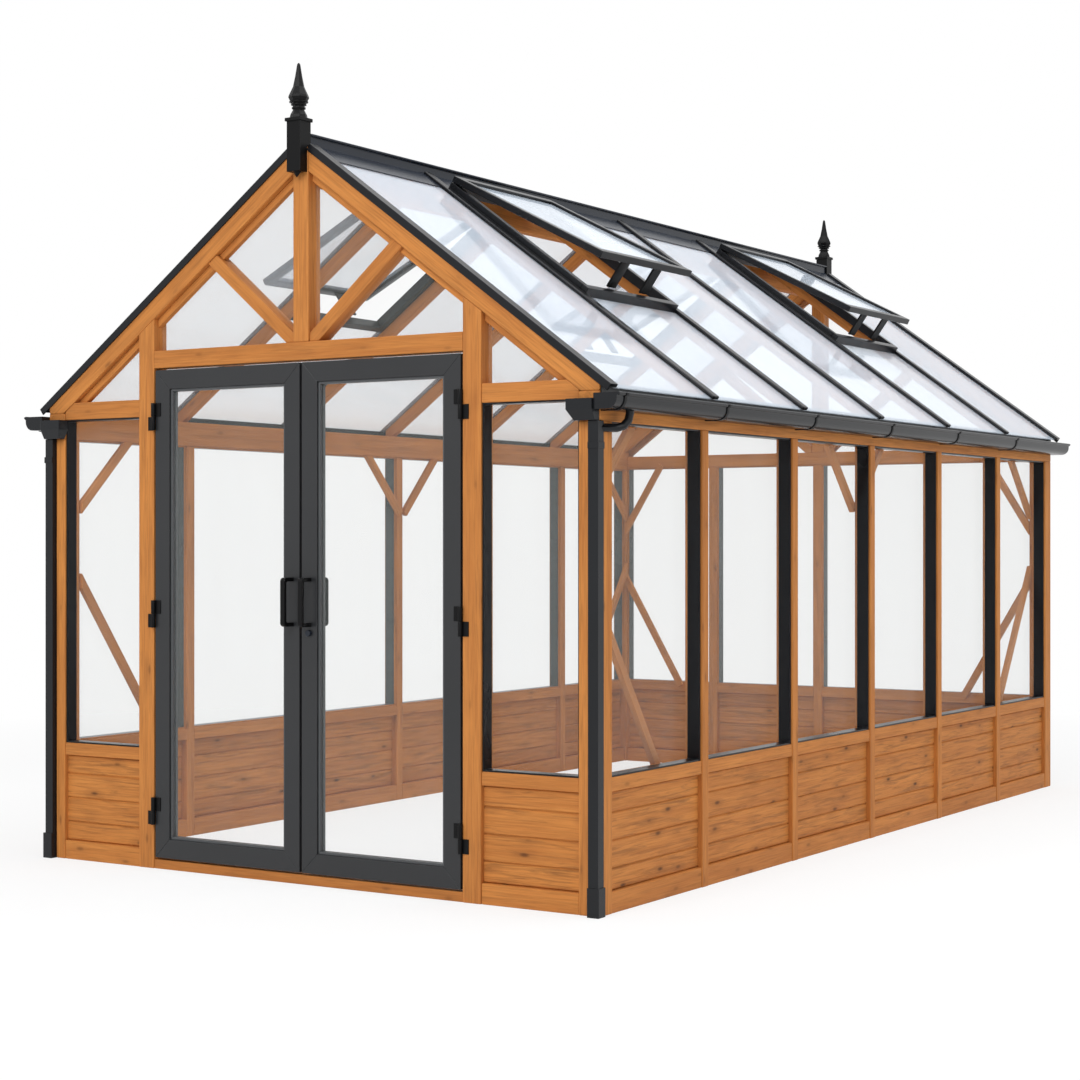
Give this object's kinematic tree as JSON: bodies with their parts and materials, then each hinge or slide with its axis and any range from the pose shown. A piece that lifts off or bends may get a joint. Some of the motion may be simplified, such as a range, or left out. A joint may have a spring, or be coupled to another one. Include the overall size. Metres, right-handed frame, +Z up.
{
  "type": "greenhouse",
  "caption": "Timber-framed glass greenhouse on boarded dado panels, with hinged glazed double doors, a pitched glass roof with open vents, gutters and gable finials.",
  "frame": {"origin": "centre of the footprint of the whole, on the ground plane under the bottom rails", "axes": "+X to the right seen from the doors, +Y along the ridge from the doors to the back wall, +Z up"},
  "size_m": [2.634, 4.421, 2.8794],
  "materials": {
    "timber": "satin oiled",
    "dark_metal": "satin powder coat",
    "glass": "clear polished"
  },
  "bodies": {
    "house": {"corner_posts": "timber", "side_posts": "timber", "back_posts": "timber", "door_posts": "timber", "bottom_rails": "timber", "dado_rails": "timber", "wall_panels": "timber", "eaves_plates": "timber", "cross_beams": "timber", "gable_rafters": "timber", "king_posts": "timber", "gable_struts": "timber", "gable_beads": "timber", "ridge_beam": "timber", "rafters": "timber", "wall_braces": "timber", "wall_glass": "glass", "gable_glass": "glass", "roof_glass": "glass", "vent_glass": "glass", "wall_liners": "dark_metal", "roof_bars": "dark_metal", "verge_caps": "dark_metal", "ridge_comb": "dark_metal", "ridge_flashings": "dark_metal", "vent_side_curbs": "dark_metal", "vent_cross_curbs": "dark_metal", "vent_frames": "dark_metal", "vent_arms": "dark_metal", "finials": "dark_metal", "gutters": "dark_metal", "gutter_brackets": "dark_metal", "rainwater_heads": "dark_metal", "swan_necks": "dark_metal", "downpipes": "dark_metal", "fixed_hinges": "dark_metal"},
    "left_door": {"left_door_stiles": "dark_metal", "left_door_rails": "dark_metal", "left_door_glass": "glass", "left_door_pulls": "dark_metal", "left_door_hinges": "dark_metal"},
    "right_door": {"right_door_stiles": "dark_metal", "right_door_rails": "dark_metal", "right_door_glass": "glass", "right_door_pulls": "dark_metal", "right_door_hinges": "dark_metal", "right_door_lock": "dark_metal"}
  },
  "joints": [
    {"name": "left_door_hinge", "type": "hinge", "parent": "house", "child": "left_door", "pos_m": [-0.684, -2.1645, 0.936], "axis": [0, 0, -1], "range_deg": [0, 120]},
    {"name": "right_door_hinge", "type": "hinge", "parent": "house", "child": "right_door", "pos_m": [0.684, -2.1645, 0.936], "axis": [0, 0, 1], "range_deg": [0, 120]}
  ]
}
